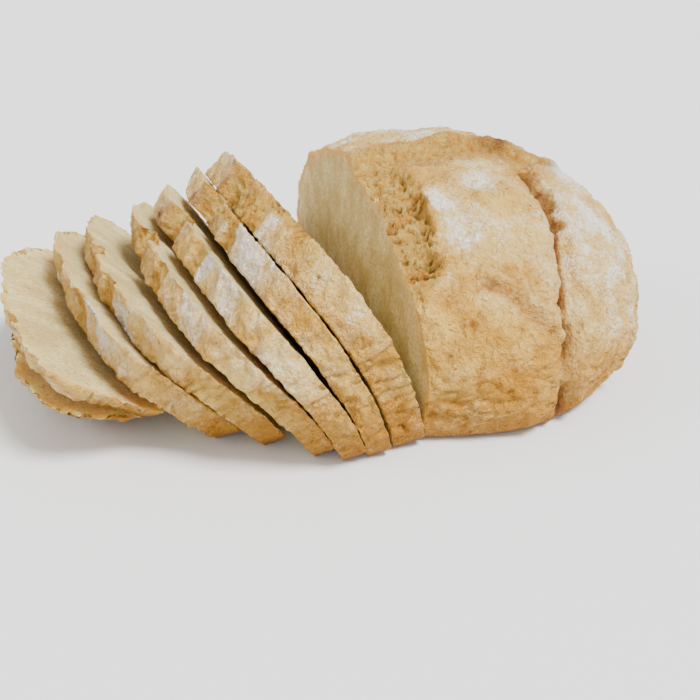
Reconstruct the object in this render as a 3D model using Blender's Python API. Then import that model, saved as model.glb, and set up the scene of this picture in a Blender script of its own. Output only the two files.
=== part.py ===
# Crusty bread: a round, scored and floured loaf, cut from one side to near its middle,
# with seven slices leaning on each other beside it and the heel under the last of them.
# X runs along the loaf, from the heel to the uncut end, Y across it and Z up.
# The origin is in the middle of the round loaf, on its flat base.
import bpy
import bmesh
import math
import numpy as np
from mathutils import Matrix, Vector
from mathutils.bvhtree import BVHTree

# The uncut part of the round loaf: a dome over a flat foot, with its crown
# shifted along X and Y, and a foot that draws in most at its far end
LOAF_HEIGHT = 0.0994
LOAF_HALF_WIDTH = 0.1260
UNCUT_REACH = 0.1057
UNCUT_WIDEST_AT = 0.0275
UNCUT_SIDE_POWER = 1.94
UNCUT_PLAN_POWER = 2.08
CROWN_SHIFT = (0.0117, 0.0144)
FOOT_SHARES = (0.815, -0.195, -0.088)
CUT_X = -0.0344

# The sliced part: how its half width and its height fall towards the heel's end,
# and how far its sections lean towards the near side
SLICED_REACH = 0.1410
SLICED_HEIGHT = 0.0994
SLICED_PLAN_POWER = 2.50
PROFILE_POWERS = (1.95, 2.12)
SECTION_POWER = 2.70
WIDEST_SHARE = 0.31
SLICED_FOOT_SHARE = 0.925
SECTION_SKEW = -0.016
SKEW_POWER = 1.5
END_LIFT = 0.020
END_LIFT_FROM = 0.118

# Slices from the cut face outwards: thickness, lean from upright in degrees, turn about Z
# in degrees, shift of the foot along Y, room left beside its neighbour, and height of the foot
SLICES = (
    ("slice_1", 0.0124, 27.5, 3.0, -0.0010, 0.0006, 0.0),
    ("slice_2", 0.0120, 30.0, 3.0, -0.0090, 0.0006, 0.0),
    ("slice_3", 0.0110, 35.6, 3.9, -0.0130, 0.0006, 0.0),
    ("slice_4", 0.0098, 42.0, 4.1, -0.0110, 0.0010, 0.0),
    ("slice_5", 0.0104, 46.5, 7.0, -0.0060, 0.0060, 0.0),
    ("slice_6", 0.0114, 49.8, 7.8, -0.0060, 0.0014, 0.0),
    ("slice_7", 0.0098, 62.0, 6.0, -0.0110, 0.0006, 0.0105),
)
SAW_CUT = 0.0016

# The heel lies under the last slice with its cut face up
HEEL_CRUMBS = 0.0030
HEEL_LEAN = 71.0
HEEL_TURN = 9.0
HEEL_SHIFT = -0.016
HEEL_ROOM = 0.0006

# Slices droop: their lean grows by this much per metre of height, in radians,
# and is as stated at the middle height
DROOP = 4.0
DROOP_MIDDLE = 0.040
DROOP_BANDS = 8

# Slices are cut thicker at the crown than at the foot, by this share of their thickness
WEDGE = 0.30

# Scores that opened in the oven, as paths in plan, with the half width and the depth
# of the opening and the height of the torn lip on the path's left
SCORES = (
    {"path": ((-0.034, -0.014), (0.003, -0.012), (0.026, -0.009), (0.052, -0.014)),
     "half_width": 0.011, "depth": 0.0035, "lip": 0.0030},
    {"path": ((-0.088, -0.008), (-0.034, -0.014)),
     "half_width": 0.015, "depth": 0.0060, "lip": 0.0010},
    {"path": ((-0.120, -0.043), (-0.070, -0.056), (-0.030, -0.054)),
     "half_width": 0.008, "depth": 0.0035, "lip": 0.0010},
    {"path": ((-0.024, -0.036), (-0.022, -0.050), (-0.025, -0.068), (-0.027, -0.088)),
     "half_width": 0.010, "depth": 0.0045, "lip": 0.0015},
    {"path": ((0.044, -0.020), (0.044, -0.046), (0.042, -0.062), (0.039, -0.078),
              (0.035, -0.093), (0.030, -0.108), (0.027, -0.125)),
     "half_width": 0.007, "depth": 0.0040, "lip": 0.0012},
)
SCORE_FLOOR = 0.2
LIP_SPREAD = 0.45
FOOT_FREE = 0.012

# Low swells of the crust: wave length, height and direction in plan in radians
SWELLS = ((0.062, 0.0007, 1.3), (0.036, 0.0005, 3.4), (0.023, 0.0003, 5.5))
CROSS_SWELL = 0.83
SWELL_RISE = 0.8

# How finely the solids are divided
LEVELS = 70
RING_ANGLES = 181
UNCUT_ROWS = 42
UNCUT_POINTS = 98
SLICE_ROWS = 3
SLICE_POINTS = 72
HEEL_ROWS = 9
HEEL_POINTS = 64
BASE_WEIGHT = 0.25
FAR_OFF = 1.0

CRUST_COLOUR = (0.62, 0.40, 0.19, 1.0)
CRUST_ROUGHNESS = 0.85


def clear_scene():
    for item in list(bpy.data.objects):
        bpy.data.objects.remove(item, do_unlink=True)


def smooth_step(low, high, value):
    part = np.clip((value - low) / (high - low), 0.0, 1.0)
    return part * part * (3.0 - 2.0 * part)


def level_ring(height, angle):
    """Level outline of the uncut part: x and y at a height, for plan angles in radians."""
    cosine, sine = np.cos(angle), np.sin(angle)
    base, along, across = FOOT_SHARES
    foot = np.minimum(base + along * cosine * abs(cosine) + across * sine * abs(sine), 1.0)
    rise = np.clip(1.0 - height / UNCUT_WIDEST_AT, 0.0, 1.0)
    crown = np.clip((height - UNCUT_WIDEST_AT) / (LOAF_HEIGHT - UNCUT_WIDEST_AT), 0.0, 1.0)
    lower = foot + (1.0 - foot) * np.sqrt(1.0 - rise ** 2)
    upper = (1.0 - crown ** UNCUT_SIDE_POWER) ** (1.0 / UNCUT_SIDE_POWER)
    size = np.where(height < UNCUT_WIDEST_AT, lower, upper)
    power = UNCUT_PLAN_POWER
    plan = (abs(cosine) ** power + abs(sine) ** power) ** (-1.0 / power)
    x = UNCUT_REACH * size * plan * cosine + CROWN_SHIFT[0] * crown
    y = LOAF_HALF_WIDTH * size * plan * sine + CROWN_SHIFT[1] * crown
    return x, y


def uncut_section(x):
    """Near and far outlines of the uncut part where the plane at x cuts it."""
    heights = LOAF_HEIGHT * np.sin(np.linspace(0.0, math.pi / 2, 4000)) ** 2
    inside = heights[(level_ring(heights, math.pi)[0] < x) & (x < level_ring(heights, 0.0)[0])]
    low, high = inside[0], inside[-1]
    angles = np.linspace(0.0, math.pi, RING_ANGLES)
    near, far = [], []
    for share in np.linspace(0.0, math.pi, LEVELS):
        height = low + (high - low) * (1.0 - math.cos(share)) / 2.0
        far_x, far_y = level_ring(height, angles)
        near_x, near_y = level_ring(height, -angles)
        far.append((np.interp(x, far_x[::-1], far_y[::-1]), height))
        near.append((np.interp(x, near_x[::-1], near_y[::-1]), height))
    return near, far


def skewed(y, rise):
    """Place across the sliced part, moved towards the near side with the share of the height."""
    return y + SECTION_SKEW * rise ** SKEW_POWER


def sliced_section(x):
    """Near and far outlines of the sliced part where the plane at x cuts it."""
    share = abs(x) / SLICED_REACH
    half_width = LOAF_HALF_WIDTH * (1.0 - share ** SLICED_PLAN_POWER) ** (1.0 / SLICED_PLAN_POWER)
    height = SLICED_HEIGHT * (1.0 - share ** PROFILE_POWERS[0]) ** (1.0 / PROFILE_POWERS[1])
    widest = WIDEST_SHARE * height
    lift = END_LIFT * max(0.0, (abs(x) - END_LIFT_FROM) / (SLICED_REACH - END_LIFT_FROM)) ** 2
    far = []
    for turn in np.linspace(0.0, math.pi / 2, LEVELS // 2):
        out = SLICED_FOOT_SHARE + (1.0 - SLICED_FOOT_SHARE) * math.sin(turn)
        far.append((half_width * out, lift + widest * (1.0 - math.cos(turn))))
    for turn in np.linspace(0.0, math.pi / 2, LEVELS)[1:]:
        out, up = math.cos(turn) ** (2 / SECTION_POWER), math.sin(turn) ** (2 / SECTION_POWER)
        far.append((half_width * out, lift + widest + (height - widest) * up))
    near = [(skewed(-y, (z - lift) / height), z) for y, z in far]
    return near, [(skewed(y, (z - lift) / height), z) for y, z in far]


def crust_ring(section, x, count):
    """Evenly spaced points of the outline at x, from the middle of its underside
    over the near side (-Y) to the crown and back over the far side."""
    near, far = section(x)
    middle = ((near[0][0] + far[0][0]) / 2.0, near[0][1])
    outline = np.array([middle] + near + far[::-1] + [middle])
    steps = np.diff(outline, axis=0)
    level = (outline[1:, 1] + outline[:-1, 1]) / 2.0
    weight = BASE_WEIGHT + (1.0 - BASE_WEIGHT) * smooth_step(0.0, 0.003, level)
    walked = np.concatenate([[0.0], np.cumsum(np.hypot(steps[:, 0], steps[:, 1]) * weight)])
    wanted = np.arange(count) / count * walked[-1]
    return np.column_stack([np.full(count, x), np.interp(wanted, walked, outline[:, 0]),
                            np.interp(wanted, walked, outline[:, 1])])


def crust_rings(section, places, count):
    """Grid of points: one ring of the crust for each place along X."""
    return np.array([crust_ring(section, x, count) for x in places])


def path_distance(path, x, y):
    """Distance in plan from a path, and the side of it that each point is on."""
    best = np.full(x.shape, 1.0)
    side = np.zeros(x.shape)
    for (x0, y0), (x1, y1) in zip(path[:-1], path[1:]):
        run = math.hypot(x1 - x0, y1 - y0)
        ux, uy = (x1 - x0) / run, (y1 - y0) / run
        along = np.clip((x - x0) * ux + (y - y0) * uy, 0.0, run)
        gap = np.hypot(x - x0 - along * ux, y - y0 - along * uy)
        turn = np.sign(ux * (y - y0) - uy * (x - x0))
        closer = gap < best
        best = np.where(closer, gap, best)
        side = np.where(closer, turn, side)
    return best, side


def crust_relief(points):
    """How far the crust stands out from the plain form: scores, lips and swells."""
    x, y, z = points[..., 0], points[..., 1], points[..., 2]
    opened = np.zeros(x.shape)
    relief = np.zeros(x.shape)
    for score in SCORES:
        gap, side = path_distance(score["path"], x, y)
        width = score["half_width"]
        floor = score["depth"] * (1.0 - smooth_step(SCORE_FLOOR * width, width, gap))
        opened = np.maximum(opened, floor)
        lip = np.exp(-((gap - width) / (LIP_SPREAD * width)) ** 2)
        relief += score["lip"] * lip * (side > 0.0)
    relief -= opened
    for length, height, turn in SWELLS:
        across = math.cos(turn) * x + math.sin(turn) * y
        up = math.sin(turn) * x - math.cos(turn) * y + SWELL_RISE * z
        relief += height * np.sin(across * 2.0 * math.pi / length + turn)
        relief += height * np.sin(up * 2.0 * math.pi / (CROSS_SWELL * length) + 2.0 * turn)
    return relief * smooth_step(0.0, FOOT_FREE, z)


def grid_normals(grid):
    """Outward direction at each point of a grid of crust rings."""
    along = np.gradient(grid, axis=0) * np.sign(grid[-1, 0, 0] - grid[0, 0, 0])
    around = (np.roll(grid, -1, axis=1) - np.roll(grid, 1, axis=1)) / 2.0
    normal = np.cross(along, around)
    length = np.linalg.norm(normal, axis=2, keepdims=True)
    return normal / np.maximum(length, 1e-9)


def raise_crust(grid, flat_rows):
    """Move the crust out by its relief, keeping the rows of a cut face in their plane."""
    normal = grid_normals(grid)
    for row in flat_rows:
        normal[row, :, 0] = 0.0
    raised = grid + normal * crust_relief(grid)[..., None]
    raised[..., 2] = np.maximum(raised[..., 2], 0.0)
    return raised


def body_mesh(name, rows, tip=None):
    """Closed body from rings of points: a flat face at the first ring and
    another at the last, or a rounded end that closes on the tip."""
    mesh = bpy.data.meshes.new(name)
    build = bmesh.new()
    rings = [[build.verts.new(point) for point in row] for row in rows]
    count = len(rings[0])
    for first, second in zip(rings[:-1], rings[1:]):
        for i in range(count):
            j = (i + 1) % count
            build.faces.new((first[i], second[i], second[j], first[j]))
    build.faces.new(rings[0])
    if tip is None:
        build.faces.new(reversed(rings[-1]))
    else:
        end = build.verts.new(tip)
        for i in range(count):
            build.faces.new((rings[-1][i], end, rings[-1][(i + 1) % count]))
    bmesh.ops.recalc_face_normals(build, faces=build.faces)
    build.to_mesh(mesh)
    build.free()
    return mesh


def bread_material(name):
    material = bpy.data.materials.new(name + "_bread")
    material.use_nodes = True
    shader = material.node_tree.nodes["Principled BSDF"]
    shader.inputs["Base Color"].default_value = CRUST_COLOUR
    shader.inputs["Roughness"].default_value = CRUST_ROUGHNESS
    shader.inputs["Metallic"].default_value = 0.0
    return material


def add_body(name, mesh, location=(0.0, 0.0, 0.0), lean=0.0, turn=0.0):
    """Object with its own material, smooth on the crust and flat on the cut faces,
    that leans back towards -X and is turned about Z, both in degrees."""
    item = bpy.data.objects.new(name, mesh)
    mesh.materials.append(bread_material(name))
    for face in mesh.polygons:
        face.use_smooth = len(face.vertices) < 5
    item.rotation_euler = (0.0, -math.radians(lean), math.radians(turn))
    item.location = location
    bpy.context.scene.collection.objects.link(item)
    return item


def rounded_places(start, end, count):
    """Places from a cut face to a rounded end, closer together towards the end."""
    turns = np.linspace(0.0, math.pi / 2, count + 1)[:-1]
    return start + (end - start) * np.sin(turns)


def rounded_body(name, section, places, end, count):
    """Body with one cut face, at the first place, and a rounded end."""
    rings = crust_rings(section, places, count)
    tip = (end, *rings[-1].mean(axis=0)[1:])
    return body_mesh(name, raise_crust(rings, (0,)), tip)


def uncut_part():
    heights = np.linspace(0.0, LOAF_HEIGHT, 2000)
    end = level_ring(heights, 0.0)[0].max()
    places = rounded_places(CUT_X, end, UNCUT_ROWS)
    return add_body("loaf_uncut", rounded_body("loaf_uncut", uncut_section, places, end, UNCUT_POINTS))


def surface_of(item):
    """An object's corners in the world, and its surface to probe with rays."""
    bpy.context.view_layer.update()
    corners = [item.matrix_world @ vertex.co for vertex in item.data.vertices]
    faces = [tuple(face.vertices) for face in item.data.polygons]
    return corners, BVHTree.FromPolygons(corners, faces)


def reach_between(corners, tree, direction):
    """Shortest way from any of the corners to a surface, in one direction."""
    reach = FAR_OFF * 2.0
    for corner in corners:
        distance = tree.ray_cast(corner, direction)[3]
        if distance is not None:
            reach = min(reach, distance)
    return reach


def settle(item, stops, room, height):
    """Lower a leaning body to a height and slide it along X up to its neighbours."""
    item.location.x = -FAR_OFF
    item.location.z = height - min(corner.z for corner in surface_of(item)[0])
    corners, tree = surface_of(item)
    ahead = Vector((1.0, 0.0, 0.0))
    travel = FAR_OFF * 2.0
    for stop_corners, stop_tree in stops:
        travel = min(travel, reach_between(corners, stop_tree, ahead),
                     reach_between(stop_corners, tree, -ahead))
    item.location.x += travel - room
    stops.append(surface_of(item))


def from_foot(mesh, left):
    """Put a slice's origin at the middle of its foot, on its left face."""
    mesh.transform(Matrix.Translation((-left, 0.0, 0.0)))
    return mesh


def drooped(mesh):
    """Bend a slice over: cut it into level bands, widen them towards the crown
    and lay them along an arc."""
    build = bmesh.new()
    build.from_mesh(mesh)
    top = max(vertex.co.z for vertex in build.verts)
    for band in range(1, DROOP_BANDS):
        everything = build.verts[:] + build.edges[:] + build.faces[:]
        bmesh.ops.bisect_plane(build, geom=everything, dist=1e-6,
                               plane_co=(0.0, 0.0, top * band / DROOP_BANDS), plane_no=(0.0, 0.0, 1.0))
    for vertex in build.verts:
        through, across, height = vertex.co
        through *= 1.0 + WEDGE * (height / top - 0.5)
        angle = DROOP * (height - DROOP_MIDDLE)
        start = -DROOP * DROOP_MIDDLE
        back = (math.cos(start) - math.cos(angle)) / DROOP
        up = (math.sin(angle) - math.sin(start)) / DROOP
        vertex.co = (through * math.cos(angle) - back, across, through * math.sin(angle) + up)
    build.to_mesh(mesh)
    build.free()
    return mesh


def slices_and_heel(stops):
    """Cut the sliced part into slices and the heel, and lean each on its neighbour."""
    right = CUT_X
    for name, thickness, lean, turn, shift, room, height in SLICES:
        right -= SAW_CUT
        places = np.linspace(right - thickness, right, SLICE_ROWS)
        rings = crust_rings(sliced_section, places, SLICE_POINTS)
        mesh = body_mesh(name, raise_crust(rings, (0, SLICE_ROWS - 1)))
        right -= thickness
        mesh = drooped(from_foot(mesh, right))
        settle(add_body(name, mesh, (0.0, shift, 0.0), lean, turn), stops, room, height)
    right -= HEEL_CRUMBS
    places = rounded_places(right, -SLICED_REACH, HEEL_ROWS)
    mesh = rounded_body("heel", sliced_section, places, -SLICED_REACH, HEEL_POINTS)
    heel = add_body("heel", from_foot(mesh, right), (0.0, HEEL_SHIFT, 0.0), HEEL_LEAN, HEEL_TURN)
    settle(heel, stops, HEEL_ROOM, 0.0)


clear_scene()
uncut = uncut_part()
slices_and_heel([surface_of(uncut)])
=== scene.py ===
# Crusty bread: the looks of a floured, scored loaf, partly cut into slices.
# Every piece repeats the form of its CAD node at a finer scale and adds the torn scores,
# the rough crust, the open crumb and their colours, all worked out in the place
# that each point had in the whole loaf, so they run on from slice to slice.
import math
import bpy
import numpy as np
from mathutils import Euler, Matrix, Vector, noise


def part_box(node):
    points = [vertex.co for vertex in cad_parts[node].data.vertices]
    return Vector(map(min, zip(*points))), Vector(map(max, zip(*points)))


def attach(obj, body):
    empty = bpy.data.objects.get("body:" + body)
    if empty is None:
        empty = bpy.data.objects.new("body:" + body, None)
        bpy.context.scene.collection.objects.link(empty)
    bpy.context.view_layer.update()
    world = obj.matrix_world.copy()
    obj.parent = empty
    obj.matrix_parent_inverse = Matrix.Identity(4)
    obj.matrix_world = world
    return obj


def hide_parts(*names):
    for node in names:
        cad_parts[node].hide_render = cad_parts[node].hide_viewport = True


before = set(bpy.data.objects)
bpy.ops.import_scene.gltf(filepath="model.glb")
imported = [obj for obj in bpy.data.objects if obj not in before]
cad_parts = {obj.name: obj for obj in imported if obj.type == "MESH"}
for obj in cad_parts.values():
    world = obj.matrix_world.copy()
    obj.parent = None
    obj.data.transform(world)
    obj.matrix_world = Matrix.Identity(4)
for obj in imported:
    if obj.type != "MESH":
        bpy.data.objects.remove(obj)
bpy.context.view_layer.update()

# Form of the loaf, in metres, as in the CAD model
LOAF_HEIGHT = 0.0994
LOAF_HALF_WIDTH = 0.1260
UNCUT_REACH = 0.1057
UNCUT_WIDEST_AT = 0.0275
UNCUT_SIDE_POWER = 1.94
UNCUT_PLAN_POWER = 2.08
CROWN_SHIFT = (0.0117, 0.0144)
FOOT_SHARES = (0.815, -0.195, -0.088)
CUT_X = -0.0344
SLICED_REACH = 0.1410
SLICED_HEIGHT = 0.0994
SLICED_PLAN_POWER = 2.50
PROFILE_POWERS = (1.95, 2.12)
SECTION_POWER = 2.70
WIDEST_SHARE = 0.31
SLICED_FOOT_SHARE = 0.925
SECTION_SKEW = -0.016
SKEW_POWER = 1.5
END_LIFT = 0.020
END_LIFT_FROM = 0.118

# Slices from the cut face outwards: thickness, lean and turn in degrees, and how far the
# outer and the inner face swell past their plain cuts
SLICES = (
    ("slice_1", 0.0124, 27.5, 3.0, 0.0022, 0.0004),
    ("slice_2", 0.0120, 30.0, 3.0, 0.0011, -0.0020),
    ("slice_3", 0.0110, 35.6, 3.9, 0.0006, -0.0004),
    ("slice_4", 0.0098, 42.0, 4.1, 0.0004, 0.0004),
    ("slice_5", 0.0104, 46.5, 7.0, 0.0004, 0.0004),
    ("slice_6", 0.0114, 49.8, 7.8, 0.0004, 0.0004),
    ("slice_7", 0.0098, 62.0, 6.0, 0.0, 0.0),
)
SAW_CUT = 0.0016
HEEL_CRUMBS = 0.0030
HEEL_LEAN = 71.0
HEEL_TURN = 9.0

# How a slice droops, as one over the radius of its arc, the height where that arc is level
# with its cut, and the share by which it is wider at the crown than at the foot
DROOP = 4.0
DROOP_MIDDLE = 0.040
WEDGE = 0.30

# Scores that opened in the oven: path in plan, half width and depth of the opening, height
# of the lip on the path's left, how much of the width is torn open, how rough it is there,
# the way its shreds are stretched and how far its lips browned
ALONG_X = (0.75, 1.0, 1.0)
ALONG_Y = (1.0, 0.60, 1.0)
SCORES = (
    {"path": ((-0.034, -0.014), (0.003, -0.012), (0.026, -0.009), (0.052, -0.014)),
     "half_width": 0.011, "depth": 0.0035, "lip": 0.0030,
     "open": 1.0, "torn": 0.0011, "shreds": ALONG_Y, "browned": 0.5},
    {"path": ((-0.078, -0.009), (-0.034, -0.014)),
     "half_width": 0.015, "depth": 0.0060, "lip": 0.0010,
     "open": 0.9, "torn": 0.0008, "shreds": ALONG_Y, "browned": 0.5},
    {"path": ((-0.120, -0.043), (-0.070, -0.056), (-0.030, -0.054)),
     "half_width": 0.008, "depth": 0.0026, "lip": 0.0008,
     "open": 0.7, "torn": 0.0006, "shreds": ALONG_Y, "browned": 0.1},
    {"path": ((-0.026, -0.034), (-0.025, -0.050), (-0.0275, -0.068), (-0.0295, -0.088)),
     "half_width": 0.0125, "depth": 0.0042, "lip": 0.0010,
     "open": 1.0, "torn": 0.0021, "shreds": ALONG_X, "browned": 0.0},
    {"path": ((0.044, -0.020), (0.044, -0.046), (0.042, -0.062), (0.039, -0.078),
              (0.035, -0.093), (0.030, -0.108), (0.027, -0.125)),
     "half_width": 0.006, "depth": 0.0034, "lip": 0.0010,
     "open": 0.15, "torn": 0.0006, "shreds": ALONG_X, "browned": 0.0},
    # This deep narrow furrow is also painted dark inside: painted shade
    {"path": ((0.0435, -0.031), (0.0435, -0.046), (0.0425, -0.060), (0.0405, -0.071)),
     "half_width": 0.0045, "depth": 0.0052, "lip": 0.0006,
     "open": 0.9, "torn": 0.0008, "shreds": ALONG_Y, "browned": 0.0, "scorch_and_shade": 0.85},
    {"path": ((-0.046, -0.012), (-0.046, -0.052)),
     "half_width": 0.010, "depth": 0.0008, "lip": 0.0,
     "open": 1.0, "torn": 0.0010, "shreds": ALONG_X, "browned": 0.0},
)

# Parts of a score's width: its level floor, the torn part and where that is torn in full
SCORE_FLOOR = 0.35
TORN_FROM = 1.05
TORN_FULLY_FROM = 0.75
LIP_SPREAD = 0.45

# Heights of the shreds: where they neither rise nor sink, up to where they are pits, and the
# roughness from which the painted shade in the pits is as dark as it gets
SHRED_LEVEL = 0.45
PIT_LEVEL = 0.20
FULLY_TORN = 0.0020

# Cracks and folds: path in plan, half width, depth, how dark the bottom is painted as
# painted shade, and the height of the lip on the path's left
CRACKS = (
    {"path": ((0.041, -0.066), (0.039, -0.078), (0.035, -0.093), (0.030, -0.108)),
     "half_width": 0.0017, "depth": 0.0030, "bottom_shade": 1.0, "lip": 0.0004},
    {"path": ((0.0283, -0.1145), (0.0272, -0.1195)),
     "half_width": 0.0036, "depth": 0.0050, "bottom_shade": 1.0, "lip": 0.0008},
    {"path": ((-0.0175, -0.050), (-0.0195, -0.066), (-0.0215, -0.078), (-0.0235, -0.088)),
     "half_width": 0.0045, "depth": 0.0020, "bottom_shade": 0.2, "lip": 0.0},
    {"path": ((-0.004, -0.101), (0.002, -0.105), (0.010, -0.111), (0.016, -0.115),
              (0.020, -0.117)),
     "half_width": 0.0034, "depth": 0.0022, "bottom_shade": 0.5, "lip": 0.0020},
)
CRACK_WOBBLE = 0.3
CRACK_LIP_SPREAD = 0.8

# Pinholes: centre, radius and strength; each is sunk a little and painted dark as painted shade
PINHOLES = (((-0.018, -0.113, 0.050), 0.0014, 1.0), ((-0.014, -0.113, 0.050), 0.0014, 1.0),
            ((0.007, -0.113, 0.053), 0.0014, 1.0), ((-0.002, -0.103, 0.062), 0.0022, 1.0),
            ((0.029, -0.108, 0.054), 0.0014, 0.9))
PINHOLE_DEPTH = 0.0014
PINHOLE_SHADE = 0.8

# Places where flour lies thickest, and scorched places: centre, radius and strength
FLOUR_SPOTS = (((-0.003, -0.074, 0.080), 0.014, 1.0), ((-0.009, -0.056, 0.086), 0.012, 0.9),
               ((0.010, -0.046, 0.091), 0.014, 0.6), ((0.004, 0.022, 0.099), 0.016, 0.9),
               ((0.066, -0.070, 0.066), 0.030, 0.8), ((0.060, -0.095, 0.050), 0.026, 0.6),
               ((0.070, -0.010, 0.080), 0.030, 0.5), ((-0.040, -0.070, 0.085), 0.014, 0.6),
               ((-0.055, -0.072, 0.080), 0.018, 0.7), ((-0.070, -0.074, 0.070), 0.020, 0.5),
               ((-0.095, -0.070, 0.060), 0.026, 0.45), ((-0.080, 0.050, 0.085), 0.030, 0.4),
               ((0.020, 0.070, 0.085), 0.035, 0.6), ((-0.020, 0.040, 0.096), 0.026, 0.5))
SCORCHED_SPOTS = (((0.040, 0.000, 0.096), 0.009, 1.0), ((0.031, 0.004, 0.098), 0.006, 0.7),
                  ((0.0435, -0.036, 0.088), 0.0055, 1.0), ((0.0435, -0.047, 0.085), 0.0055, 1.0),
                  ((0.0420, -0.059, 0.081), 0.0050, 0.9), ((-0.062, 0.014, 0.092), 0.008, 1.0),
                  ((-0.074, 0.012, 0.086), 0.008, 1.0), ((-0.036, 0.006, 0.095), 0.006, 0.8))

# Flour elsewhere: how much lies everywhere, and what is added towards the crown, towards the
# loaf's end and on the slices, each between two places; and the part that a torn place sheds
FLOUR_EVERYWHERE = 0.04
FLOUR_CROWN = (0.34, 0.025, 0.066)
FLOUR_END = (0.16, 0.040, 0.060)
FLOUR_SLICED = (0.16, 0.010, 0.040)
SLICED_BLEND = 0.006
FLOUR_SHED = 0.9

# The height up to which the relief fades out towards the foot
FOOT_FREE = 0.012

# Low swells of the whole crust: wave length, height and turn
SWELLS = ((0.062, 0.0007, 1.3), (0.036, 0.0005, 3.4), (0.023, 0.0003, 5.5))
CROSS_SWELL = 0.83
SWELL_RISE = 0.8

# Fine relief of crust and crumb: wave length, height, octaves and seed of each kind
EDGE_WOBBLE = (0.014, 0.0026, 3, 7.0)
LUMPS = (0.017, 0.0009, 2, 11.0)
BLISTERS = (0.0065, 0.0008, 3, 13.0)
PITTING = (0.0030, 0.0006, 2, 5.0)
BURRS = (0.0036, 0.0006, 4, 9.0)
RIM_WAVES = (0.016, 0.0006, 2, 6.0)
CRUMB_WAVES = (0.035, 0.0006, 2, 4.0)
WARP = (0.008, 0.0034, 2)
WARP_SEEDS = (21.0, 23.0, 25.0)
NOISE_FALL = 1.0
NOISE_STEP = 2.0

# Torn shreds: ridges between hollows
CRAG_WAVE = 0.0038
CRAG_OCTAVES = 4
CRAG_SEED = 3.0
CRAG_HOLLOW = 0.36
CRAG_FLOOR = -0.6

# Narrow folds of the crust, and the heights between which they end
CREASES = {"wave": 0.019, "depth": 0.0008, "seed": 1.0, "width": 0.22,
           "stretch": (1.0, 1.0, 1.5), "ends": (0.075, 0.095)}
WRINKLES = {"wave": 0.011, "depth": 0.0013, "seed": 2.0, "width": 0.25,
            "stretch": (0.7, 0.7, 2.0), "ends": (0.045, 0.075)}
FOLD_OCTAVES = 2

# Cut faces: how far in from the crust the ragged rim and its burrs fade, and how far in
# the waves of the crumb are at their full height
RIM_SMOOTHING = 31
RAGGED_FADE = 0.0025
BURR_FADE = 0.002
WAVES_FULL = 0.003

# Patterns of the crust's colours. A noise has a wave length, detail, roughness and shift, and
# scattered spots have a distance; then follow the values that count and what they become
BAKED = ((0.024, 4.0, 0.55, 0.0), (0.35, 0.65, 0.0, 1.0))
BAKED_DEEPER = ((0.008, 5.0, 0.65, 1.3), (0.42, 0.72, 0.0, 0.65))
FLOUR_PATCHES = ((0.020, 8.0, 0.66, 2.1), (0.34, 0.66, -0.34, 0.40))
FLOUR_GRAIN = ((0.0018, 5.0, 0.75, 3.3), (0.32, 0.68, -0.26, 0.26))
TORN_TONES = ((0.005, 5.0, 0.65, 4.2), (0.38, 0.66, 0.0, 1.0))
TORN_GRAIN = ((0.0016, 3.0, 0.6, 5.7), (0.50, 0.75, 0.0, 0.4))
SCORCHED_TONES = ((0.009, 4.0, 0.6, 6.5), (0.36, 0.60, 0.55, 1.0))
DARK_PITS = (0.013, (0.05, 0.09, 0.7, 0.0))
# How much of the painted shade colour goes into the hollows and cracks
HOLLOW_SHADE_SHARE = 0.75

# Darker towards the floor, by the height above it, and thin and thick flour by its amount
FOOT_NOISE = (0.020, 3.0, 0.5, 0.4)
FOOT_WOBBLE = 0.012
LOW_DARKENING = (0.008, 0.062, 0.75, 0.0)
FOOT_DARKENING = (0.004, 0.014, 0.8, 0.0)
THIN_FLOUR = (0.10, 0.95, 0.0, 0.75)
THICK_FLOUR = (0.70, 1.40, 0.0, 0.95)
FLOURED_ROUGHNESS = (0.0, 1.0, 0.72, 0.95)
CRUST_SPECULAR = 0.25

# Patterns of the crumb's colours, written in the same way, and the brown skin along its rim
CRUMB_TONES = ((0.018, 4.0, 0.6, 0.9), (0.35, 0.65, 0.0, 1.0))
CRUMB_BLOTCHES = ((0.016, 5.0, 0.7, 5.1), (0.46, 0.72, 0.0, 0.35))
CRUMB_GRAIN = ((0.0016, 5.0, 0.80, 1.7), (0.40, 0.64, 0.0, 0.60))
# The pores are painted darker in colour, as painted shade
PORE_FIELDS = ((0.006, 3.0, 0.6, 2.7), (0.46, 0.62, 0.0, 1.0))
PORES = (0.0018, (0.10, 0.45, 0.8, 0.0))
SPECKS = (0.011, (0.04, 0.09, 0.7, 0.0))
SKIN_WOBBLE = ((0.005, 4.0, 0.6, 3.9), (0.2, 0.8, -0.0016, 0.0016))
SKIN_DEPTH = (0.0008, 0.0034, 1.0, 0.0)
CRUMB_ROUGHNESS = 0.9
CRUMB_SPECULAR = 0.2
CRUMB_GLOW = 0.8
CRUMB_GLOW_RADIUS = (1.0, 0.60, 0.35)
CRUMB_GLOW_SCALE = 0.016

# Finest relief, which the materials add: noises, their shares and the height in all
CRUST_FINE = (0.0018, 4.0, 0.65, 7.7)
CRUST_COARSE = (0.0055, 4.0, 0.65, 8.1)
COARSE_SHARE = 2.6
TORN_SHREDS = (0.0026, 5.0, 0.7, 9.2)
SHREDS_SHARE = 3.0
NOISE_MIDDLE = 0.5
CRUST_BUMP = 0.0032
CRUMB_BUMP = 0.0012

# How finely the pieces are divided, with more rings near a cut's rim and fewer points below
LEVELS = 90
RING_ANGLES = 241
UNCUT_ROWS = 190
BURST_ROWS = 48
BURST_END = -0.003
UNCUT_POINTS = 410
SLICE_ROWS = 16
SLICE_POINTS = 600
HEEL_ROWS = 60
HEEL_POINTS = 320
FACE_RINGS = 28
RIM_CROWDING = 1.7
BASE_WEIGHT = 0.35
BASE_BAND = 0.003
SECTION_STEPS = 4000
END_STEPS = 2000
SHORTEST = 1e-9

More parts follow.
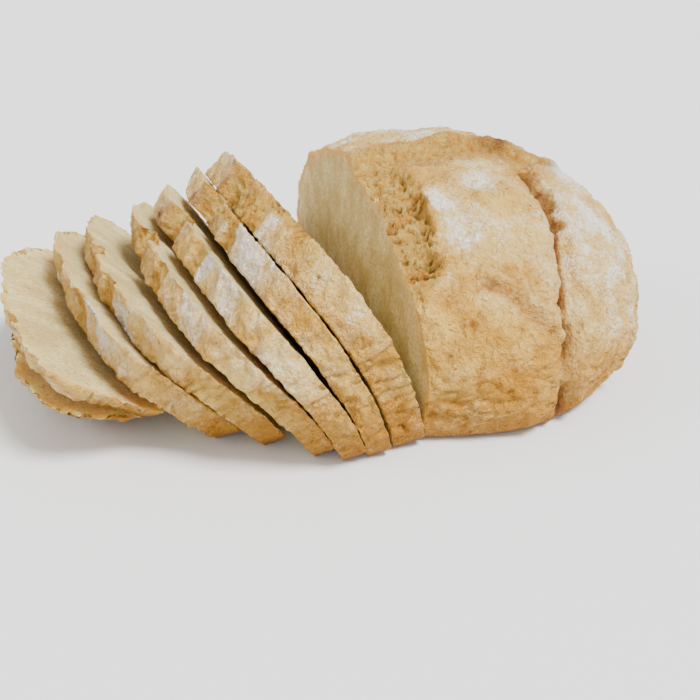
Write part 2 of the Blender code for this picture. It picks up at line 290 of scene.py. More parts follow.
# The camera, at the photograph's angle
CAMERA_PLACE = (-0.1505, -0.4173, 0.1848)
CAMERA_AIM = (0.2481, 0.8792, -0.4067)
CAMERA_ROLL = 0.61
CAMERA_LENS = 46.29
SENSOR = 36.0

# Suns: where the light comes from, strength, and spread in degrees
SUNS = (
    ("key", (0.42, -0.50, 1.0), 6.3, 18.0),
    ("front", (-0.30, -0.90, 0.50), 0.8, 40.0),
    ("behind", (-1.0, 0.10, 0.60), 1.0, 25.0),
)

# The white surroundings' strength as light, and as seen straight on
SURROUNDINGS_LIGHT = 0.78
SURROUNDINGS_SEEN = 2.05
SURROUNDINGS_COLOUR = (1.0, 1.0, 1.0, 1.0)

# The floor, well past the camera's view
FLOOR_HALF = 40.0
FLOOR_COLOUR = (0.80, 0.80, 0.80, 1.0)
FLOOR_ROUGHNESS = 0.9


def smooth_step(low, high, value):
    """Share from 0 at the low value to 1 at the high one, level at both ends."""
    part = np.clip((value - low) / (high - low), 0.0, 1.0)
    return part * part * (3.0 - 2.0 * part)


def fractal(points, wave, octaves, seed):
    """Fractal noise at each point, about -1 to 1, with a wave length in metres."""
    scaled = (points / wave + seed).tolist()
    return np.array([noise.fractal(place, NOISE_FALL, NOISE_STEP, octaves) for place in scaled])


def waves(points, kind):
    """Noise of one kind at each point, in metres."""
    wave, height, octaves, seed = kind
    return height * fractal(points, wave, octaves, seed)


def folds(points, wave, depth, seed, width, stretch, ends):
    """How deep each point lies in narrow folds, which end between two heights."""
    lines = abs(fractal(points * stretch, wave, FOLD_OCTAVES, seed))
    inside = 1.0 - smooth_step(0.0, width, lines)
    return depth * inside * (1.0 - smooth_step(*ends, points[:, 2]))


def level_ring(height, angle):
    """Level outline of the uncut part: x and y at a height, for plan angles in radians."""
    cosine, sine = np.cos(angle), np.sin(angle)
    base, along, across = FOOT_SHARES
    foot = np.minimum(base + along * cosine * abs(cosine) + across * sine * abs(sine), 1.0)
    rise = np.clip(1.0 - height / UNCUT_WIDEST_AT, 0.0, 1.0)
    crown = np.clip((height - UNCUT_WIDEST_AT) / (LOAF_HEIGHT - UNCUT_WIDEST_AT), 0.0, 1.0)
    lower = foot + (1.0 - foot) * np.sqrt(1.0 - rise ** 2)
    upper = (1.0 - crown ** UNCUT_SIDE_POWER) ** (1.0 / UNCUT_SIDE_POWER)
    size = np.where(height < UNCUT_WIDEST_AT, lower, upper)
    power = UNCUT_PLAN_POWER
    plan = (abs(cosine) ** power + abs(sine) ** power) ** (-1.0 / power)
    x = UNCUT_REACH * size * plan * cosine + CROWN_SHIFT[0] * crown
    y = LOAF_HALF_WIDTH * size * plan * sine + CROWN_SHIFT[1] * crown
    return x, y


def uncut_section(x):
    """Near and far outlines of the uncut part where the plane at x cuts it."""
    heights = LOAF_HEIGHT * np.sin(np.linspace(0.0, math.pi / 2, SECTION_STEPS)) ** 2
    inside = heights[(level_ring(heights, math.pi)[0] < x) & (x < level_ring(heights, 0.0)[0])]
    low, high = inside[0], inside[-1]
    angles = np.linspace(0.0, math.pi, RING_ANGLES)
    near, far = [], []
    for share in np.linspace(0.0, math.pi, LEVELS):
        height = low + (high - low) * (1.0 - math.cos(share)) / 2.0
        far_x, far_y = level_ring(height, angles)
        near_x, near_y = level_ring(height, -angles)
        far.append((np.interp(x, far_x[::-1], far_y[::-1]), height))
        near.append((np.interp(x, near_x[::-1], near_y[::-1]), height))
    return near, far


def skewed(y, rise):
    """Place across the sliced part, moved towards the near side with the share of the height."""
    return y + SECTION_SKEW * rise ** SKEW_POWER


def sliced_section(x):
    """Near and far outlines of the sliced part where the plane at x cuts it."""
    share = abs(x) / SLICED_REACH
    half_width = LOAF_HALF_WIDTH * (1.0 - share ** SLICED_PLAN_POWER) ** (1.0 / SLICED_PLAN_POWER)
    height = SLICED_HEIGHT * (1.0 - share ** PROFILE_POWERS[0]) ** (1.0 / PROFILE_POWERS[1])
    widest = WIDEST_SHARE * height
    lift = END_LIFT * max(0.0, (abs(x) - END_LIFT_FROM) / (SLICED_REACH - END_LIFT_FROM)) ** 2
    far = []
    for turn in np.linspace(0.0, math.pi / 2, LEVELS // 2):
        out = SLICED_FOOT_SHARE + (1.0 - SLICED_FOOT_SHARE) * math.sin(turn)
        far.append((half_width * out, lift + widest * (1.0 - math.cos(turn))))
    for turn in np.linspace(0.0, math.pi / 2, LEVELS)[1:]:
        out, up = math.cos(turn) ** (2 / SECTION_POWER), math.sin(turn) ** (2 / SECTION_POWER)
        far.append((half_width * out, lift + widest + (height - widest) * up))
    near = [(skewed(-y, (z - lift) / height), z) for y, z in far]
    return near, [(skewed(y, (z - lift) / height), z) for y, z in far]


def crust_ring(section, x, count):
    """Points of the outline at x, evenly spaced but further apart underneath, from the middle
    of its underside over the near side (-Y) to the crown and back over the far side."""
    near, far = section(x)
    middle = ((near[0][0] + far[0][0]) / 2.0, near[0][1])
    outline = np.array([middle] + near + far[::-1] + [middle])
    steps = np.diff(outline, axis=0)
    level = (outline[1:, 1] + outline[:-1, 1]) / 2.0
    weight = BASE_WEIGHT + (1.0 - BASE_WEIGHT) * smooth_step(0.0, BASE_BAND, level)
    walked = np.concatenate([[0.0], np.cumsum(np.hypot(steps[:, 0], steps[:, 1]) * weight)])
    wanted = np.arange(count) / count * walked[-1]
    return np.column_stack([np.full(count, x), np.interp(wanted, walked, outline[:, 0]),
                            np.interp(wanted, walked, outline[:, 1])])


def path_distance(path, x, y):
    """Distance in plan from a path, and the side of it that each point is on."""
    best = np.full(x.shape, np.inf)
    side = np.zeros(x.shape)
    for (x0, y0), (x1, y1) in zip(path[:-1], path[1:]):
        run = math.hypot(x1 - x0, y1 - y0)
        ux, uy = (x1 - x0) / run, (y1 - y0) / run
        along = np.clip((x - x0) * ux + (y - y0) * uy, 0.0, run)
        gap = np.hypot(x - x0 - along * ux, y - y0 - along * uy)
        turn = np.sign(ux * (y - y0) - uy * (x - x0))
        closer = gap < best
        best = np.where(closer, gap, best)
        side = np.where(closer, turn, side)
    return best, side


def swells(points):
    """Low swells of the crust, as in the CAD model."""
    x, y, z = points[:, 0], points[:, 1], points[:, 2]
    relief = np.zeros(len(points))
    for length, height, turn in SWELLS:
        across = math.cos(turn) * x + math.sin(turn) * y
        up = math.sin(turn) * x - math.cos(turn) * y + SWELL_RISE * z
        relief += height * np.sin(across * 2.0 * math.pi / length + turn)
        relief += height * np.sin(up * 2.0 * math.pi / (CROSS_SWELL * length) + 2.0 * turn)
    return relief


def spot_strength(spots, points):
    """How strongly each point lies in one of several round places."""
    strength = np.zeros(len(points))
    for centre, radius, most in spots:
        gap = np.linalg.norm(points - centre, axis=1) / radius
        strength = np.maximum(strength, most * np.exp(-gap ** 2))
    return strength


def setting_in(amount, low, high, value):
    """An amount that grows to its full size between two values."""
    return amount * smooth_step(low, high, value)


def flour_amount(points):
    """How much flour stuck at each point, 0 to 1."""
    x, z = points[:, 0], points[:, 2]
    flour = FLOUR_EVERYWHERE + setting_in(*FLOUR_CROWN, z) + setting_in(*FLOUR_END, x)
    sliced = 1.0 - smooth_step(CUT_X - SLICED_BLEND, CUT_X, x)
    flour += sliced * setting_in(*FLOUR_SLICED, z)
    return np.clip(flour + spot_strength(FLOUR_SPOTS, points), 0.0, 1.0)


def crust_relief(points):
    """How far the crust stands out from the plain form at each point, and its masks: torn
    (inside an opened score), painted shade in the hollows (pits of torn places and cracks),
    scorched places together with painted shade in cracks, pinholes and a deep furrow, and
    flour (where flour stuck)."""
    x, y, z = points[:, 0], points[:, 1], points[:, 2]
    wobble = waves(points, EDGE_WOBBLE)
    warp = [waves(points, (*WARP, seed)) for seed in WARP_SEEDS]
    warped = points + np.column_stack(warp)
    crags = {}
    for stretch in (ALONG_X, ALONG_Y):
        lines = abs(fractal(warped * stretch, CRAG_WAVE, CRAG_OCTAVES, CRAG_SEED))
        crags[stretch] = np.maximum(1.0 - lines / CRAG_HOLLOW, CRAG_FLOOR)
    opened, torn, lips, rough, hollow_shade, scorched_and_shaded = np.zeros((6, len(points)))
    scorch_and_shade = spot_strength(SCORCHED_SPOTS, points)
    for score in SCORES:
        gap, side = path_distance(score["path"], x, y)
        width = score["half_width"]
        gap = np.maximum(gap + wobble * score["open"], 0.0)
        floor = score["depth"] * (1.0 - smooth_step(SCORE_FLOOR * width, width, gap))
        opened = np.maximum(opened, floor)
        torn_width = width * score["open"]
        inside = 1.0 - smooth_step(TORN_FULLY_FROM * torn_width, TORN_FROM * torn_width, gap)
        shreds = inside * score["torn"] * (crags[score["shreds"]] - SHRED_LEVEL)
        rough = np.where(abs(shreds) > abs(rough), shreds, rough)
        torn = np.maximum(torn, inside)
        # The low pits between the shreds get painted shade
        pits = 1.0 - smooth_step(CRAG_FLOOR, PIT_LEVEL, crags[score["shreds"]])
        hollow_shade = np.maximum(hollow_shade, inside * pits * min(score["torn"] / FULLY_TORN, 1.0))
        lip = np.exp(-((gap - width) / (LIP_SPREAD * width)) ** 2)
        lips += score["lip"] * lip * (side > 0.0)
        scorched_and_shaded = np.maximum(scorched_and_shaded, score["browned"] * lip)
        scorch_and_shade = np.maximum(scorch_and_shade, score.get("scorch_and_shade", 0.0) * inside)
    for crack in CRACKS:
        gap, side = path_distance(crack["path"], x, y)
        gap = np.maximum(gap + CRACK_WOBBLE * wobble, 0.0)
        width = crack["half_width"]
        within = 1.0 - smooth_step(0.0, width, gap)
        opened += crack["depth"] * within
        # The bottom of each crack is painted dark: painted shade, as hollow colour and as scorched
        # colour
        hollow_shade = np.maximum(hollow_shade, crack["bottom_shade"] * within)
        scorch_and_shade = np.maximum(scorch_and_shade, (2.0 * crack["bottom_shade"] - 1.0) * within)
        lip = np.exp(-((gap / width - 1.0) / CRACK_LIP_SPREAD) ** 2)
        lips += crack["lip"] * lip * (side > 0.0)
    # Pinholes are sunk and painted dark: painted shade
    pinholes = spot_strength(PINHOLES, points)
    opened += PINHOLE_DEPTH * pinholes
    scorch_and_shade = np.maximum(scorch_and_shade, PINHOLE_SHADE * pinholes)
    plate = 1.0 - torn
    relief = swells(points) + lips - opened + rough
    relief += waves(points, LUMPS)
    relief += plate * waves(points, BLISTERS)
    relief += waves(points, PITTING)
    relief -= plate * folds(points, **CREASES)
    relief -= folds(points, **WRINKLES)
    relief *= smooth_step(0.0, FOOT_FREE, z)
    flour = flour_amount(points) * (1.0 - FLOUR_SHED * torn)
    scorched_and_shaded = np.maximum(scorched_and_shaded * (1.0 - torn), scorch_and_shade)
    return relief, {"torn": torn, "hollow_shade": hollow_shade, "scorched_and_shaded": scorched_and_shaded, "flour": flour}


def grid_normals(grid):
    """Outward direction at each point of a grid of crust rings."""
    along = np.gradient(grid, axis=0) * np.sign(grid[-1, 0, 0] - grid[0, 0, 0])
    around = (np.roll(grid, -1, axis=1) - np.roll(grid, 1, axis=1)) / 2.0
    normal = np.cross(along, around)
    length = np.linalg.norm(normal, axis=2, keepdims=True)
    return normal / np.maximum(length, SHORTEST)


def raised_crust(grid, flat_rows):
    """The crust moved out by its relief, the ragged rims of cut faces, and the crust's masks."""
    rows, count = grid.shape[:2]
    normal = grid_normals(grid)
    for row in flat_rows:
        normal[row, :, 0] = 0.0
    points = grid.reshape(-1, 3)
    relief, masks = crust_relief(points)
    raised = points + normal.reshape(-1, 3) * relief[:, None]
    raised = raised.reshape(rows, count, 3)
    for row in flat_rows:
        raised[row, :, 0] += waves(grid[row], BURRS)
        raised[row, :, 0] += waves(grid[row], RIM_WAVES)
    raised[..., 2] = np.maximum(raised[..., 2], 0.0)
    return raised, masks


def smoothed_rim(rim):
    """A closed rim with each point moved to the mean of its neighbours."""
    around = range(-(RIM_SMOOTHING // 2), RIM_SMOOTHING // 2 + 1)
    return sum(np.roll(rim, step, axis=0) for step in around) / RIM_SMOOTHING


def cut_face(rim, outward):
    """Rings of points from a rim to its centre over a cut face, and how far in they lie."""
    centre = rim.mean(axis=0)
    shares = 1.0 - (np.arange(1, FACE_RINGS + 1) / (FACE_RINGS + 1)) ** RIM_CROWDING
    even = smoothed_rim(rim)
    reach = np.linalg.norm(even - centre, axis=1)
    ragged = np.exp(-(1.0 - shares)[:, None] * reach / RAGGED_FADE)[..., None]
    rings = centre + shares[:, None, None] * (ragged * (rim - even) + even - centre)
    points = np.vstack([rings.reshape(-1, 3), centre])
    depth = np.append(((1.0 - shares[:, None]) * reach).reshape(-1), reach.max())
    level = rim[:, 0].mean()
    points[:, 0] = level + (points[:, 0] - level) * np.exp(-depth / BURR_FADE)
    sunk = waves(points, CRUMB_WAVES) - CRUMB_WAVES[1]
    points[:, 0] += outward * sunk * smooth_step(0.0, WAVES_FULL, depth)
    return points, depth


class Piece:
    """Points, faces and masks of one piece, put together where it was in the whole loaf."""

    def __init__(self, rows, masks):
        self.count = rows.shape[1]
        self.points = [rows.reshape(-1, 3)]
        self.total = rows.shape[0] * self.count
        self.faces = []
        self.masks = {name: [value] for name, value in masks.items()}
        self.masks["depth"] = [np.zeros(self.total)]
        for row in range(rows.shape[0] - 1):
            self.join(row * self.count, (row + 1) * self.count)
        self.crumb_from = len(self.faces)

    def join(self, first, second, flip=False):
        """Quads between two rings that start at these points."""
        for i in range(self.count):
            j = (i + 1) % self.count
            face = (first + i, second + i, second + j, first + j)
            self.faces.append(face[::-1] if flip else face)

    def close(self, ring, tip, flip):
        """Triangles from a ring to one point."""
        for i in range(self.count):
            face = (ring + i, tip, ring + (i + 1) % self.count)
            self.faces.append(face[::-1] if flip else face)

    def add(self, points, depth):
        """More points with their depth below the crust; the place of the first of them."""
        start = self.total
        self.points.append(points)
        self.total += len(points)
        for name, values in self.masks.items():
            values.append(depth if name == "depth" else np.zeros(len(points)))
        return start

    def add_face(self, rim_start, rim, outward):
        """A cut face inside the rim, facing along X."""
        points, depth = cut_face(rim, outward)
        start = self.add(points, depth)
        flip = outward < 0.0
        self.join(rim_start, start, flip)
        for ring in range(FACE_RINGS - 1):
            self.join(start + ring * self.count, start + (ring + 1) * self.count, flip)
        self.close(start + (FACE_RINGS - 1) * self.count, start + FACE_RINGS * self.count, flip)

    def all_points(self):
        """The piece's points in the order in which its faces count them."""
        return np.vstack(self.points)


def rounded_places(start, end, count):
    """Places from a cut face to a rounded end, closer together towards the end."""
    turns = np.linspace(0.0, math.pi / 2, count + 1)[:-1]
    return start + (end - start) * np.sin(turns)


def add_piece(piece, node, crumb, points, places):
    """Mesh object from a piece's points, with its masks and its place in the whole loaf."""
    mesh = bpy.data.meshes.new(node + "_looks")
    mesh.from_pydata(points.tolist(), [], piece.faces)
    mesh.materials.append(CRUST)
    mesh.materials.append(crumb)
    slots = np.zeros(len(piece.faces), dtype=np.int32)
    slots[piece.crumb_from:] = 1
    mesh.polygons.foreach_set("material_index", slots)
    mesh.polygons.foreach_set("use_smooth", np.ones(len(piece.faces), dtype=bool))
    place = mesh.attributes.new("place", "FLOAT_VECTOR", "POINT")
    place.data.foreach_set("vector", places.astype(np.float32).reshape(-1))
    for name, values in piece.masks.items():
        mask = mesh.attributes.new(name, "FLOAT", "POINT")
        mask.data.foreach_set("value", np.concatenate(values).astype(np.float32))
    mesh.update()
    item = bpy.data.objects.new(node + "_bread", mesh)
    bpy.context.scene.collection.objects.link(item)
    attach(item, "root")
    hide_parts(node)


def add_uncut():
    """The uncut part: crust from the cut face to the rounded end, and the cut face."""
    heights = np.linspace(0.0, LOAF_HEIGHT, END_STEPS)
    end = level_ring(heights, 0.0)[0].max()
    close = np.linspace(CUT_X, BURST_END, BURST_ROWS, endpoint=False)
    places = np.concatenate([close, rounded_places(BURST_END, end, UNCUT_ROWS - BURST_ROWS)])
    grid = np.array([crust_ring(uncut_section, x, UNCUT_POINTS) for x in places])
    rows, masks = raised_crust(grid, (0,))
    piece = Piece(rows, masks)
    last = (UNCUT_ROWS - 1) * UNCUT_POINTS
    tip = piece.add(np.array([[end, *rows[-1].mean(axis=0)[1:]]]), np.zeros(1))
    piece.close(last, tip, False)
    piece.crumb_from = len(piece.faces)
    piece.add_face(0, rows[0], -1.0)
    points = piece.all_points()
    add_piece(piece, "loaf_uncut", CRUMB, points, points)


def bent(points, left, top):
    """A slice's points, widened towards the crown and laid along an arc."""
    through, across, height = (points - (left, 0.0, 0.0)).T
    through = through * (1.0 + WEDGE * (height / top - 0.5))
    angle = DROOP * (height - DROOP_MIDDLE)
    start = -DROOP * DROOP_MIDDLE
    back = (math.cos(start) - np.cos(angle)) / DROOP
    up = (np.sin(angle) - math.sin(start)) / DROOP
    return np.column_stack([through * np.cos(angle) - back, across, through * np.sin(angle) + up])


def laid(points, guide, node, lean, turn):
    """Points leant and turned, and moved so that the guide's box meets the CAD node's."""
    rotation = np.array(Euler((0.0, -math.radians(lean), math.radians(turn))).to_matrix())
    points = points @ rotation.T
    guide = guide @ rotation.T
    low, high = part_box(node)
    middle = (guide.min(axis=0) + guide.max(axis=0)) / 2.0
    offset = (np.array(low) + np.array(high)) / 2.0 - middle
    offset[2] = low.z - guide[:, 2].min()
    return points + offset


def add_slice(node, left, right, lean, turn, swell_left, swell_right):
    """A slice between two cuts: a strip of crust and two cut faces."""
    places = np.linspace(left - swell_left, right + swell_right, SLICE_ROWS)
    grid = np.array([crust_ring(sliced_section, x, SLICE_POINTS) for x in places])
    rows, masks = raised_crust(grid, (0, SLICE_ROWS - 1))
    piece = Piece(rows, masks)
    piece.add_face(0, rows[0], -1.0)
    piece.add_face((SLICE_ROWS - 1) * SLICE_POINTS, rows[-1], 1.0)
    top = rows[..., 2].max()
    points = piece.all_points()
    plain = [crust_ring(sliced_section, x, SLICE_POINTS) for x in (left, right)]
    guide = bent(np.vstack(plain), left, top)
    posed = laid(bent(points, left, top), guide, node, lean, turn)
    posed[:, 2] = np.maximum(posed[:, 2], 0.0)
    add_piece(piece, node, SHADED_SLICE_CRUMB, posed, points)


def add_heel(right):
    """The heel: crust from its cut face to the loaf's rounded end, and the cut face."""
    places = rounded_places(right, -SLICED_REACH, HEEL_ROWS)
    grid = np.array([crust_ring(sliced_section, x, HEEL_POINTS) for x in places])
    rows, masks = raised_crust(grid, (0,))
    piece = Piece(rows, masks)
    piece.faces = [face[::-1] for face in piece.faces]
    last = (HEEL_ROWS - 1) * HEEL_POINTS
    tip = piece.add(np.array([[-SLICED_REACH, *rows[-1].mean(axis=0)[1:]]]), np.zeros(1))
    piece.close(last, tip, True)
    piece.crumb_from = len(piece.faces)
    piece.add_face(0, rows[0], 1.0)
    points = piece.all_points()
    guide = rows.reshape(-1, 3) - (right, 0.0, 0.0)
    posed = laid(points - (right, 0.0, 0.0), guide, "heel", HEEL_LEAN, HEEL_TURN)
    add_piece(piece, "heel", SHADED_SLICE_CRUMB, posed, points)


class Nodes:
    """Short ways to add and link the nodes of one material."""

    def __init__(self, name):
        self.material = bpy.data.materials.new(name)
        self.material.use_nodes = True
        self.tree = self.material.node_tree
        self.shader = self.tree.nodes["Principled BSDF"]

    def link(self, source, target):
        """A socket fed by another node's output or set to a value."""
        if hasattr(source, "is_output"):
            self.tree.links.new(source, target)
        else:
            target.default_value = source

    def mask(self, name):
        node = self.tree.nodes.new("ShaderNodeAttribute")
        node.attribute_name = name
        return node.outputs["Fac"]

    def place(self):
        node = self.tree.nodes.new("ShaderNodeAttribute")
        node.attribute_name = "place"
        return node.outputs["Vector"]

    def noise(self, wave, detail, roughness, shift):
        """Noise over the loaf, 0 to 1, with a wave length in metres."""
        moved = self.tree.nodes.new("ShaderNodeVectorMath")
        moved.operation = "ADD"
        self.link(self.place(), moved.inputs[0])
        moved.inputs[1].default_value = (shift, shift, shift)
        node = self.tree.nodes.new("ShaderNodeTexNoise")
        self.link(moved.outputs[0], node.inputs["Vector"])
        node.inputs["Scale"].default_value = 1.0 / wave
        node.inputs["Detail"].default_value = detail
        node.inputs["Roughness"].default_value = roughness
        return node.outputs["Fac"]

    def cells(self, size):
        """Distance from the nearest of many scattered points, in cell sizes."""
        node = self.tree.nodes.new("ShaderNodeTexVoronoi")
        self.link(self.place(), node.inputs["Vector"])
        node.inputs["Scale"].default_value = 1.0 / size
        return node.outputs["Distance"]

    def pattern(self, kind):
        """A noise, with the values that count turned into what they become."""
        settings, span = kind
        return self.between(self.noise(*settings), *span)

    def scattered(self, kind):
        """Scattered spots, with the distances that count turned into what they become."""
        size, span = kind
        return self.between(self.cells(size), *span)

    def math(self, kind, first, second=0.0):
        """One sum of two numbers or outputs."""
        node = self.tree.nodes.new("ShaderNodeMath")
        node.operation = kind
        self.link(first, node.inputs[0])
        self.link(second, node.inputs[1])
        return node.outputs[0]

    def plus(self, first, second):
        return self.math("ADD", first, second)

    def minus(self, first, second):
        return self.math("SUBTRACT", first, second)

    def times(self, first, second):
        return self.math("MULTIPLY", first, second)

    def between(self, value, low, high, out_low, out_high):
        """A value taken smoothly from one span of numbers to another, and not past its ends."""
        node = self.tree.nodes.new("ShaderNodeMapRange")
        node.interpolation_type = "SMOOTHSTEP"
        self.link(value, node.inputs["Value"])
        node.inputs["From Min"].default_value = low
        node.inputs["From Max"].default_value = high
        node.inputs["To Min"].default_value = out_low
        node.inputs["To Max"].default_value = out_high
        return node.outputs["Result"]

    def mix(self, share, first, second):
        """The first colour, with a share of the second mixed in."""
        node = self.tree.nodes.new("ShaderNodeMix")
        node.data_type = "RGBA"
        self.link(share, node.inputs["Factor"])
        self.link(first, node.inputs["A"])
        self.link(second, node.inputs["B"])
        return node.outputs["Result"]

    def height(self):
        """Height of each point while the loaf was whole."""
        node = self.tree.nodes.new("ShaderNodeSeparateXYZ")
        self.link(self.place(), node.inputs[0])
        return node.outputs["Z"]

    def bump(self, height, distance):
        """Finest relief on the shader's normal."""
        node = self.tree.nodes.new("ShaderNodeBump")
        node.inputs["Distance"].default_value = distance
        self.link(height, node.inputs["Height"])
        self.link(node.outputs["Normal"], self.shader.inputs["Normal"])


def colour(red, green, blue):
    """Colour as the shader takes it, from 0 to 255 as a screen shows it."""
    linear = []
    for value in (red, green, blue):
        share = value / 255.0
        linear.append(share / 12.92 if share <= 0.04045 else ((share + 0.055) / 1.055) ** 2.4)
    return (*linear, 1.0)


# Colours of crust and crumb
GOLD = colour(214, 157, 56)
GOLD_DEEP = colour(182, 118, 26)
GOLD_PALE = colour(240, 197, 100)
BASE_BROWN = colour(150, 88, 24)
FLOUR_THIN = colour(242, 210, 142)
FLOUR_WHITE = colour(255, 249, 234)
# Scorched brown, also used as painted shade in cracks, pinholes and a deep furrow
SCORCH_AND_SHADE_BROWN = colour(136, 66, 32)
TORN_GOLD = colour(246, 170, 56)
TORN_PALE = colour(255, 214, 112)
# Painted shade in the hollows of torn places and in cracks
HOLLOW_SHADE = colour(158, 86, 28)
CRUMB_PALE = colour(238, 222, 164)
CRUMB_SHADE = colour(214, 188, 126)
# The slices' crumb: the same crumb in darker, browner tones, as painted shade
SLICE_PALE_SHADED = colour(226, 208, 146)
SLICE_DARK_SHADED = colour(198, 174, 112)
# Darker crumb tone for blotches and grain, also painted shade in the pores
CRUMB_DARK_AND_PORE_SHADE = colour(164, 130, 72)
CRUMB_SPECK = colour(170, 92, 44)
CRUMB_SKIN = colour(206, 158, 88)


def crust_material():
    """Baked crust, darker towards its foot, with flour on it, torn and scorched places, and
    painted shade in its hollows, cracks, pinholes and one deep furrow.
    """
    m = Nodes("floured_crust")
    baked = m.mix(m.pattern(BAKED), GOLD, GOLD_PALE)
    baked = m.mix(m.pattern(BAKED_DEEPER), baked, GOLD_DEEP)
    low = m.plus(m.height(), m.times(m.noise(*FOOT_NOISE), FOOT_WOBBLE))
    baked = m.mix(m.between(low, *LOW_DARKENING), baked, GOLD_DEEP)
    baked = m.mix(m.between(low, *FOOT_DARKENING), baked, BASE_BROWN)
    flour = m.plus(m.mask("flour"), m.pattern(FLOUR_PATCHES))
    flour = m.plus(flour, m.pattern(FLOUR_GRAIN))
    dusted = m.mix(m.between(flour, *THIN_FLOUR), baked, FLOUR_THIN)
    dusted = m.mix(m.between(flour, *THICK_FLOUR), dusted, FLOUR_WHITE)
    pitted = m.mix(m.scattered(DARK_PITS), dusted, SCORCH_AND_SHADE_BROWN)
    torn = m.mix(m.pattern(TORN_TONES), TORN_PALE, TORN_GOLD)
    torn = m.mix(m.pattern(TORN_GRAIN), torn, GOLD)
    surface = m.mix(m.mask("torn"), pitted, torn)
    # Painted shade in hollows and cracks, then scorched places, which also carry painted shade in
    # cracks, pinholes and a deep furrow
    surface = m.mix(m.times(m.mask("hollow_shade"), HOLLOW_SHADE_SHARE), surface, HOLLOW_SHADE)
    surface = m.mix(m.times(m.mask("scorched_and_shaded"), m.pattern(SCORCHED_TONES)), surface, SCORCH_AND_SHADE_BROWN)
    m.link(surface, m.shader.inputs["Base Color"])
    m.link(m.between(flour, *FLOURED_ROUGHNESS), m.shader.inputs["Roughness"])
    m.shader.inputs["Specular IOR Level"].default_value = CRUST_SPECULAR
    fine = m.plus(m.noise(*CRUST_FINE), m.times(m.noise(*CRUST_COARSE), COARSE_SHARE))
    shreds = m.math("ABSOLUTE", m.minus(m.noise(*TORN_SHREDS), NOISE_MIDDLE))
    shreds = m.times(m.times(shreds, SHREDS_SHARE), m.mask("torn"))
    m.bump(m.minus(fine, shreds), CRUST_BUMP)
    return m.material


def crumb_material(name, lighter, darker):
    """Fine open crumb between two tones, with pores painted darker as painted shade, specks and a
    browner rim.
    """
    m = Nodes(name)
    pores = m.times(m.scattered(PORES), m.pattern(PORE_FIELDS))
    crumb = m.mix(m.pattern(CRUMB_TONES), lighter, darker)
    crumb = m.mix(m.pattern(CRUMB_BLOTCHES), crumb, CRUMB_DARK_AND_PORE_SHADE)
    crumb = m.mix(m.pattern(CRUMB_GRAIN), crumb, CRUMB_DARK_AND_PORE_SHADE)
    # The pores are painted darker: painted shade in the holes
    crumb = m.mix(pores, crumb, CRUMB_DARK_AND_PORE_SHADE)
    crumb = m.mix(m.scattered(SPECKS), crumb, CRUMB_SPECK)
    inwards = m.plus(m.mask("depth"), m.pattern(SKIN_WOBBLE))
    crumb = m.mix(m.between(inwards, *SKIN_DEPTH), crumb, CRUMB_SKIN)
    m.link(crumb, m.shader.inputs["Base Color"])
    m.shader.inputs["Roughness"].default_value = CRUMB_ROUGHNESS
    m.shader.inputs["Specular IOR Level"].default_value = CRUMB_SPECULAR
    m.shader.inputs["Subsurface Weight"].default_value = CRUMB_GLOW
    m.shader.inputs["Subsurface Radius"].default_value = CRUMB_GLOW_RADIUS
    m.shader.inputs["Subsurface Scale"].default_value = CRUMB_GLOW_SCALE
    grain_noise, _ = CRUMB_GRAIN
    m.bump(m.minus(m.noise(*grain_noise), pores), CRUMB_BUMP)
    return m.material


def add_floor():
    """Pale plain floor."""
    mesh = bpy.data.meshes.new("floor")
    low, high = -FLOOR_HALF, FLOOR_HALF
    corners = [(low, low, 0.0), (high, low, 0.0), (high, high, 0.0), (low, high, 0.0)]
    mesh.from_pydata(corners, [], [(0, 1, 2, 3)])
    item = bpy.data.objects.new("floor", mesh)
    material = bpy.data.materials.new("pale_floor")
    material.use_nodes = True
    shader = material.node_tree.nodes["Principled BSDF"]
    shader.inputs["Base Color"].default_value = FLOOR_COLOUR
    shader.inputs["Roughness"].default_value = FLOOR_ROUGHNESS
    mesh.materials.append(material)
    bpy.context.scene.collection.objects.link(item)


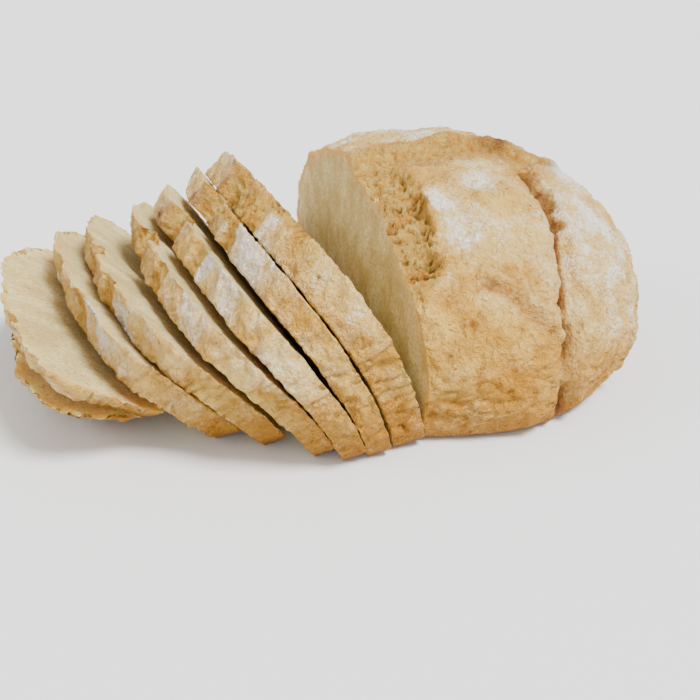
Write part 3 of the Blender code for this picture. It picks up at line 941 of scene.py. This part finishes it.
def add_sun(name, place, power, spread):
    """Even soft light from a direction, over the object and the floor alike."""
    light = bpy.data.lights.new(name, "SUN")
    light.energy = power
    light.angle = math.radians(spread)
    item = bpy.data.objects.new(name, light)
    item.rotation_euler = Vector(place).to_track_quat("Z", "Y").to_euler()
    bpy.context.scene.collection.objects.link(item)


def add_surroundings():
    """White surroundings: seen straight on they are as bright as the floor, so no horizon shows."""
    world = bpy.data.worlds.new("studio")
    bpy.context.scene.world = world
    world.use_nodes = True
    tree = world.node_tree
    background = tree.nodes["Background"]
    background.inputs["Color"].default_value = SURROUNDINGS_COLOUR
    rays = tree.nodes.new("ShaderNodeLightPath")
    strength = tree.nodes.new("ShaderNodeMapRange")
    strength.inputs["To Min"].default_value = SURROUNDINGS_LIGHT
    strength.inputs["To Max"].default_value = SURROUNDINGS_SEEN
    tree.links.new(rays.outputs["Is Camera Ray"], strength.inputs["Value"])
    tree.links.new(strength.outputs["Result"], background.inputs["Strength"])


def add_camera():
    """The camera, turned to its aim and then rolled."""
    camera = bpy.data.cameras.new("camera")
    camera.lens = CAMERA_LENS
    camera.sensor_width = SENSOR
    item = bpy.data.objects.new("camera", camera)
    forward = Vector(CAMERA_AIM).normalized()
    level = forward.cross(Vector((0.0, 0.0, 1.0))).normalized()
    above = level.cross(forward)
    roll = math.radians(CAMERA_ROLL)
    right = level * math.cos(roll) + above * math.sin(roll)
    up = above * math.cos(roll) - level * math.sin(roll)
    turn = Matrix((right, up, -forward)).transposed()
    item.matrix_world = Matrix.Translation(CAMERA_PLACE) @ turn.to_4x4()
    bpy.context.scene.collection.objects.link(item)
    bpy.context.scene.camera = item


CRUST = crust_material()
CRUMB = crumb_material("open_crumb", CRUMB_PALE, CRUMB_SHADE)
# The slices get the shaded copy of the crumb: painted shade
SHADED_SLICE_CRUMB = crumb_material("shaded_slice_crumb", SLICE_PALE_SHADED, SLICE_DARK_SHADED)
add_camera()
add_floor()
for name, place, power, spread in SUNS:
    add_sun(name, place, power, spread)
add_surroundings()
add_uncut()
edge = CUT_X
for slice_name, thickness, lean, turn, swell_left, swell_right in SLICES:
    edge -= SAW_CUT
    add_slice(slice_name, edge - thickness, edge, lean, turn, swell_left, swell_right)
    edge -= thickness
add_heel(edge - HEEL_CRUMBS)
